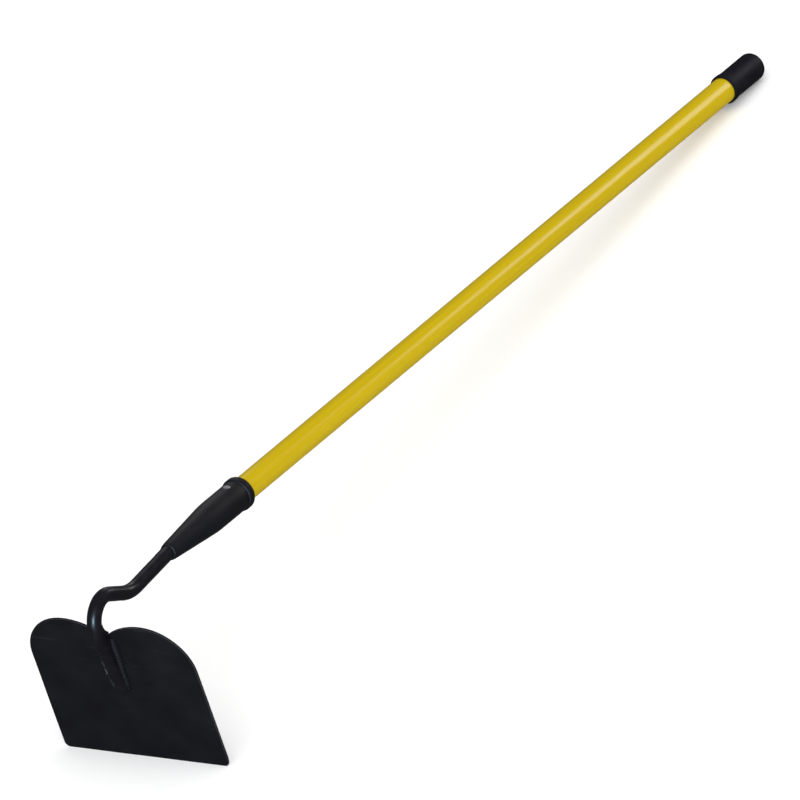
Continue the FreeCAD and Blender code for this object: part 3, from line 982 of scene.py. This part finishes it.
# %% Make the notch weld
WEB_VOXEL = 0.5 * MM
LUMP_SIZE = 3.5 * MM
LUMP_DEPTH = 0.25 * MM
web = bpy.data.objects.new("notch_weld_web", frame["nodes"]["notch_weld"].data.copy())
scene.collection.objects.link(web)
bpy.ops.object.select_all(action="DESELECT")
web.select_set(True)
bpy.context.view_layer.objects.active = web
bpy.ops.mesh.customdata_custom_splitnormals_clear()
bpy.ops.object.mode_set(mode="EDIT")
tidy_mesh()
bpy.ops.object.mode_set(mode="OBJECT")
modify(web, "REMESH", mode="VOXEL", voxel_size=WEB_VOXEL)
modify(web, "SMOOTH", factor=0.5, iterations=16)
lumps = bpy.data.textures.new("weld_lumps", "CLOUDS")
lumps.noise_scale = LUMP_SIZE
modify(web, "DISPLACE", texture=lumps, strength=LUMP_DEPTH, mid_level=0.6)
finish_piece(web, Matrix.Identity(4), angle=60)

# %% [markdown]
# ## Finishes
#
# Every finish is built from nodes, so it needs no picture. Its pattern is measured in
# the piece's own metres: a Mapping node turns it along the handle or the blade, and a
# second one stretches it where the finish has a grain. A value that is the same all
# over is set on the shader itself, and only what changes over the surface is linked.

# %% Helpers for finishes
HANDLE_PLACE = (tuple(mouth), tuple(HANDLE.to_euler()))
BLADE_PLACE = (tuple(edge_middle), tuple(BLADE.to_euler()))


def node(tree, kind, **settings):
    """Adds a node. Settings that name an input set it, and the others set the node."""
    made = tree.nodes.new("ShaderNode" + kind)
    for name, value in settings.items():
        label = name.replace("_", " ")
        if label in made.inputs:
            made.inputs[label].default_value = value
        else:
            setattr(made, name, value)
    return made


def pattern_space(tree, place, stretch=(1, 1, 1)):
    """Object coordinates, turned to a working frame and stretched."""
    space = node(tree, "TexCoord")
    turn = node(tree, "Mapping", vector_type="TEXTURE")
    turn.inputs["Location"].default_value = place[0]
    turn.inputs["Rotation"].default_value = place[1]
    scale = node(tree, "Mapping")
    scale.inputs["Scale"].default_value = stretch
    tree.links.new(space.outputs["Object"], turn.inputs["Vector"])
    tree.links.new(turn.outputs["Vector"], scale.inputs["Vector"])
    return scale.outputs["Vector"]


def noise(tree, space, scale, detail=3.0, roughness=0.5, distortion=0.0):
    """A noise pattern. The scale is in bumps per metre of the stretched space."""
    made = node(
        tree, "TexNoise", Scale=scale, Detail=detail, Roughness=roughness, Distortion=distortion
    )
    tree.links.new(space, made.inputs["Vector"])
    return made.outputs["Fac"]


def spread(tree, value, low, high, from_low=0.3, from_high=0.7):
    """Maps a pattern's middle range to a range of values."""
    made = node(tree, "MapRange")
    made.inputs["From Min"].default_value = from_low
    made.inputs["From Max"].default_value = from_high
    made.inputs["To Min"].default_value = low
    made.inputs["To Max"].default_value = high
    tree.links.new(value, made.inputs["Value"])
    return made.outputs["Result"]


def mix_colour(tree, share, first, second):
    """Blends two colours, each a tuple or a socket, by a pattern."""
    made = node(tree, "Mix", data_type="RGBA")
    tree.links.new(share, made.inputs["Factor"])
    for label, colour in (("A", first), ("B", second)):
        socket = next(s for s in made.inputs if s.name == label and s.type == "RGBA")
        if isinstance(colour, tuple):
            socket.default_value = (*colour, 1)
        else:
            tree.links.new(colour, socket)
    return next(s for s in made.outputs if s.type == "RGBA")


def mottled(tree, pattern, dark, light):
    """A colour that wanders between two tones with a pattern."""
    return mix_colour(tree, spread(tree, pattern, 0, 1), dark, light)


def bump(tree, heights, depth):
    """Turns (pattern, strength) pairs into one normal, the broadest first."""
    normal = None
    for height, strength in heights:
        made = node(tree, "Bump", Strength=strength, Distance=depth)
        tree.links.new(height, made.inputs["Height"])
        if normal is not None:
            tree.links.new(normal, made.inputs["Normal"])
        normal = made.outputs["Normal"]
    return normal


def link_finish(tree, main, colour, rough, normal):
    """Links what changes over the surface to the main shader."""
    tree.links.new(colour, main.inputs["Base Color"])
    tree.links.new(rough, main.inputs["Roughness"])
    tree.links.new(normal, main.inputs["Normal"])


# %% [markdown]
# ### Black paint on the steel
#
# The head is dipped in thin black paint. On the flat plate the paint dries satin and a
# little uneven, with a few fine scratches from packing. On the forged bar it runs
# glossier, over the small dents that the hammer left. On the welds it lies over ripples.
# Round the plate's rim, which takes every knock, the paint is rubbed and looks lighter,
# and the lighter tone is also a painted highlight along the rim: the attribute on those
# faces says where. The bead on the left has small light glints painted into its colour
# as highlights, so it has a finish of its own.

# %% Paint on the blade
# The rim's lighter tone: rubbed paint, and a painted highlight where the bevel catches the
# light.
RUBBED_AND_LIT_TONE = (0.075, 0.068, 0.092)
blade_paint, tree, main = shader("satin_black_paint")
space = pattern_space(tree, BLADE_PLACE)
broad = noise(tree, space, 22, detail=4, roughness=0.6)
fine = noise(tree, space, 700, detail=2)
colour = mottled(tree, broad, (0.0052, 0.0040, 0.0060), (0.0074, 0.0060, 0.0084))
scratch_space = pattern_space(tree, BLADE_PLACE, (9, 160, 1))
lines = noise(tree, scratch_space, 3.0, detail=2, distortion=1.2)
scratches = spread(tree, lines, 0, 1, 0.69, 0.74)
colour = mix_colour(tree, scratches, colour, (0.017, 0.016, 0.019))
# Lighter on the marked rim faces: rubbed paint and a painted highlight.
rubbed_lit_node = node(tree, "Attribute", attribute_name="rubbed_and_lit_rim")
colour = mix_colour(tree, rubbed_lit_node.outputs["Fac"], colour, RUBBED_AND_LIT_TONE)
rough = spread(tree, broad, 0.46, 0.62)
main.inputs["Specular IOR Level"].default_value = 0.14
link_finish(tree, main, colour, rough, bump(tree, [(broad, 0.25), (fine, 0.12)], 0.4 * MM))

# %% Paint on the gooseneck
neck_paint, tree, main = shader("gloss_black_paint")
space = pattern_space(tree, BLADE_PLACE)
dents = noise(tree, space, 60, detail=3, roughness=0.55)
orange_peel = noise(tree, space, 420, detail=2)
colour = mottled(tree, dents, (0.0062, 0.0054, 0.0080), (0.0100, 0.0090, 0.0126))
rough = spread(tree, dents, 0.28, 0.42)
main.inputs["Specular IOR Level"].default_value = 0.15
link_finish(tree, main, colour, rough, bump(tree, [(dents, 0.3), (orange_peel, 0.1)], 0.5 * MM))

# %% Paint on the welds, with painted glints on the left
WELD_TONES = ((0.0062, 0.0052, 0.0080), (0.0115, 0.0100, 0.0140))
# Pale cyan tone of the painted glints: highlights of the cool light on the left bead's lumps.
PAINTED_GLINT_TONE = (0.085, 0.10, 0.105)


def weld_finish(name, roughness, gloss, with_painted_glints=False):
    """Paint over the ripples of a weld, with or without small painted highlights on its lumps.
    """
    finish, tree, main = shader(name)
    space = pattern_space(tree, BLADE_PLACE)
    slag = noise(tree, space, 260, detail=4, roughness=0.6)
    colour = mottled(tree, slag, *WELD_TONES)
    if with_painted_glints:
        # Small light spots painted into the colour as highlights on the bead's lumps.
        painted_glints = spread(tree, noise(tree, space, 75, detail=1), 0, 1, 0.54, 0.6)
        colour = mix_colour(tree, painted_glints, colour, PAINTED_GLINT_TONE)
    rough = spread(tree, slag, *roughness)
    main.inputs["Specular IOR Level"].default_value = gloss
    link_finish(tree, main, colour, rough, bump(tree, [(slag, 0.35)], 0.4 * MM))
    return finish


weld_paint = weld_finish("painted_weld", (0.5, 0.7), 0.07)
weld_with_painted_glints = weld_finish("weld_with_painted_glints", (0.3, 0.5), 0.4, with_painted_glints=True)
print("steel finishes", [m.name for m in (blade_paint, neck_paint, weld_paint, weld_with_painted_glints)])

# %% [markdown]
# ### Plastic, rubber and the tube
#
# The ferrule is moulded in charcoal nylon with a fine spark-eroded texture. The cap is
# vinyl: softer looking, a touch rougher, and a little dusty on its high spots. The tube
# has a glossy yellow gel coat over glass strands, so its colour and its gloss vary in
# long faint lines along the handle.

# %% Moulded nylon on the ferrule
nylon, tree, main = shader("charcoal_nylon")
space = pattern_space(tree, HANDLE_PLACE)
cloud = noise(tree, space, 30, detail=3)
grain = noise(tree, space, 1500, detail=2)
colour = mottled(tree, cloud, (0.0034, 0.0025, 0.0050), (0.0054, 0.0043, 0.0074))
rough = spread(tree, grain, 0.5, 0.66)
main.inputs["Specular IOR Level"].default_value = 0.3
link_finish(tree, main, colour, rough, bump(tree, [(cloud, 0.08), (grain, 0.3)], 0.25 * MM))

# %% Vinyl on the cap
vinyl, tree, main = shader("black_vinyl")
space = pattern_space(tree, HANDLE_PLACE)
cloud = noise(tree, space, 45, detail=4, roughness=0.6)
grain = noise(tree, space, 1100, detail=2)
colour = mottled(tree, cloud, (0.0046, 0.0044, 0.0090), (0.0088, 0.0086, 0.0150))
rough = spread(tree, cloud, 0.48, 0.62)
main.inputs["Specular IOR Level"].default_value = 0.12
link_finish(tree, main, colour, rough, bump(tree, [(cloud, 0.12), (grain, 0.22)], 0.3 * MM))

# %% Gel coat on the tube
gel_coat, tree, main = shader("yellow_gel_coat")
strand_space = pattern_space(tree, HANDLE_PLACE, (2.0, 240, 240))
strands = noise(tree, strand_space, 1.0, detail=4, roughness=0.6)
space = pattern_space(tree, HANDLE_PLACE)
peel = noise(tree, space, 350, detail=2)
colour = mottled(tree, strands, (0.520, 0.366, 0.0010), (0.582, 0.424, 0.0014))
rough = spread(tree, strands, 0.17, 0.25)
main.inputs["Specular IOR Level"].default_value = 0.25
link_finish(tree, main, colour, rough, bump(tree, [(strands, 0.06), (peel, 0.03)], 0.2 * MM))
print("plastic finishes", nylon.name, vinyl.name, gel_coat.name)

# %% [markdown]
# ### Rivet and plugs
#
# The rivet is dull aluminium, and the black from the ferrule has rubbed off on part of
# it. The two plugs inside the tube are turned hardwood. They are hidden, but they are
# part of the tool, so they get rings and grain along the handle.

# %% Aluminium on the rivet
aluminium, tree, main = shader("dull_aluminium")
space = pattern_space(tree, HANDLE_PLACE)
smear = noise(tree, space, 330, detail=3, roughness=0.6)
pits = noise(tree, space, 1800, detail=2)
blackened = spread(tree, smear, 0, 1, 0.42, 0.6)
colour = mix_colour(tree, blackened, (0.29, 0.29, 0.31), (0.075, 0.075, 0.082))
rough = spread(tree, smear, 0.5, 0.7)
main.inputs["Metallic"].default_value = 0.3
link_finish(tree, main, colour, rough, bump(tree, [(smear, 0.2), (pits, 0.2)], 0.2 * MM))

# %% Hardwood on the plugs
wood, tree, main = shader("turned_hardwood")
ring_space = pattern_space(tree, HANDLE_PLACE, (0.12, 1, 1))
rings = node(tree, "TexWave", wave_type="RINGS", rings_direction="X", Scale=170, Distortion=3.0)
rings.inputs["Detail"].default_value = 2
tree.links.new(ring_space, rings.inputs["Vector"])
grain_space = pattern_space(tree, HANDLE_PLACE, (40, 900, 900))
grain = noise(tree, grain_space, 1.0, detail=3)
colour = mix_colour(tree, rings.outputs["Fac"], (0.46, 0.31, 0.17), (0.36, 0.22, 0.11))
colour = mix_colour(tree, spread(tree, grain, 0, 0.35), colour, (0.24, 0.14, 0.07))
rough = spread(tree, grain, 0.55, 0.75)
link_finish(tree, main, colour, rough, bump(tree, [(grain, 0.3)], 0.2 * MM))
print("other finishes", aluminium.name, wood.name)

# %% [markdown]
# ## Put it together
#
# Each piece gets its finish, rides on the tool's one body, and stands for the CAD piece
# that it replaces, which is hidden. The two plugs are right as they are, so they stay and
# only get their wood.

# %% Finish, ride and replace
PIECES = [
    (tube, gel_coat, "yellow_tube", "handle_tube"),
    (cap, vinyl, "cap_rubber", "end_cap"),
    (ferrule, nylon, "ferrule_nylon", "ferrule"),
    (rivet, aluminium, "rivet_metal", "ferrule_rivet"),
    (blade, blade_paint, "blade_paint", "blade"),
    (neck, neck_paint, "neck_paint", "gooseneck"),
    (left_bead, weld_with_painted_glints, "weld", "weld_bead_left"),
    (right_bead, weld_paint, "weld", "weld_bead_right"),
    (web, weld_paint, "weld", "notch_weld"),
]
for piece, finish, slot_name, cad_node in PIECES:
    piece.data.materials.clear()
    piece.data.materials.append(finish)
    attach(piece, "root")
    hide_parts(cad_node)
for name in ("tang_plug", "grip_plug"):
    frame["nodes"][name].material_slots[0].material = wood
print("pieces", [row[0].name for row in PIECES])

# %% [markdown]
# ## The size
#
# Looks never change the tool's size. The CAD's box and the finished model's box are
# written side by side, so that they can be compared.

# %% Write both boxes
made_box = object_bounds()
for name, (low, high) in (("CAD", cad_box), ("made", made_box)):
    print(name, [round(1000 * (b - a), 2) for a, b in zip(low, high)], "mm")
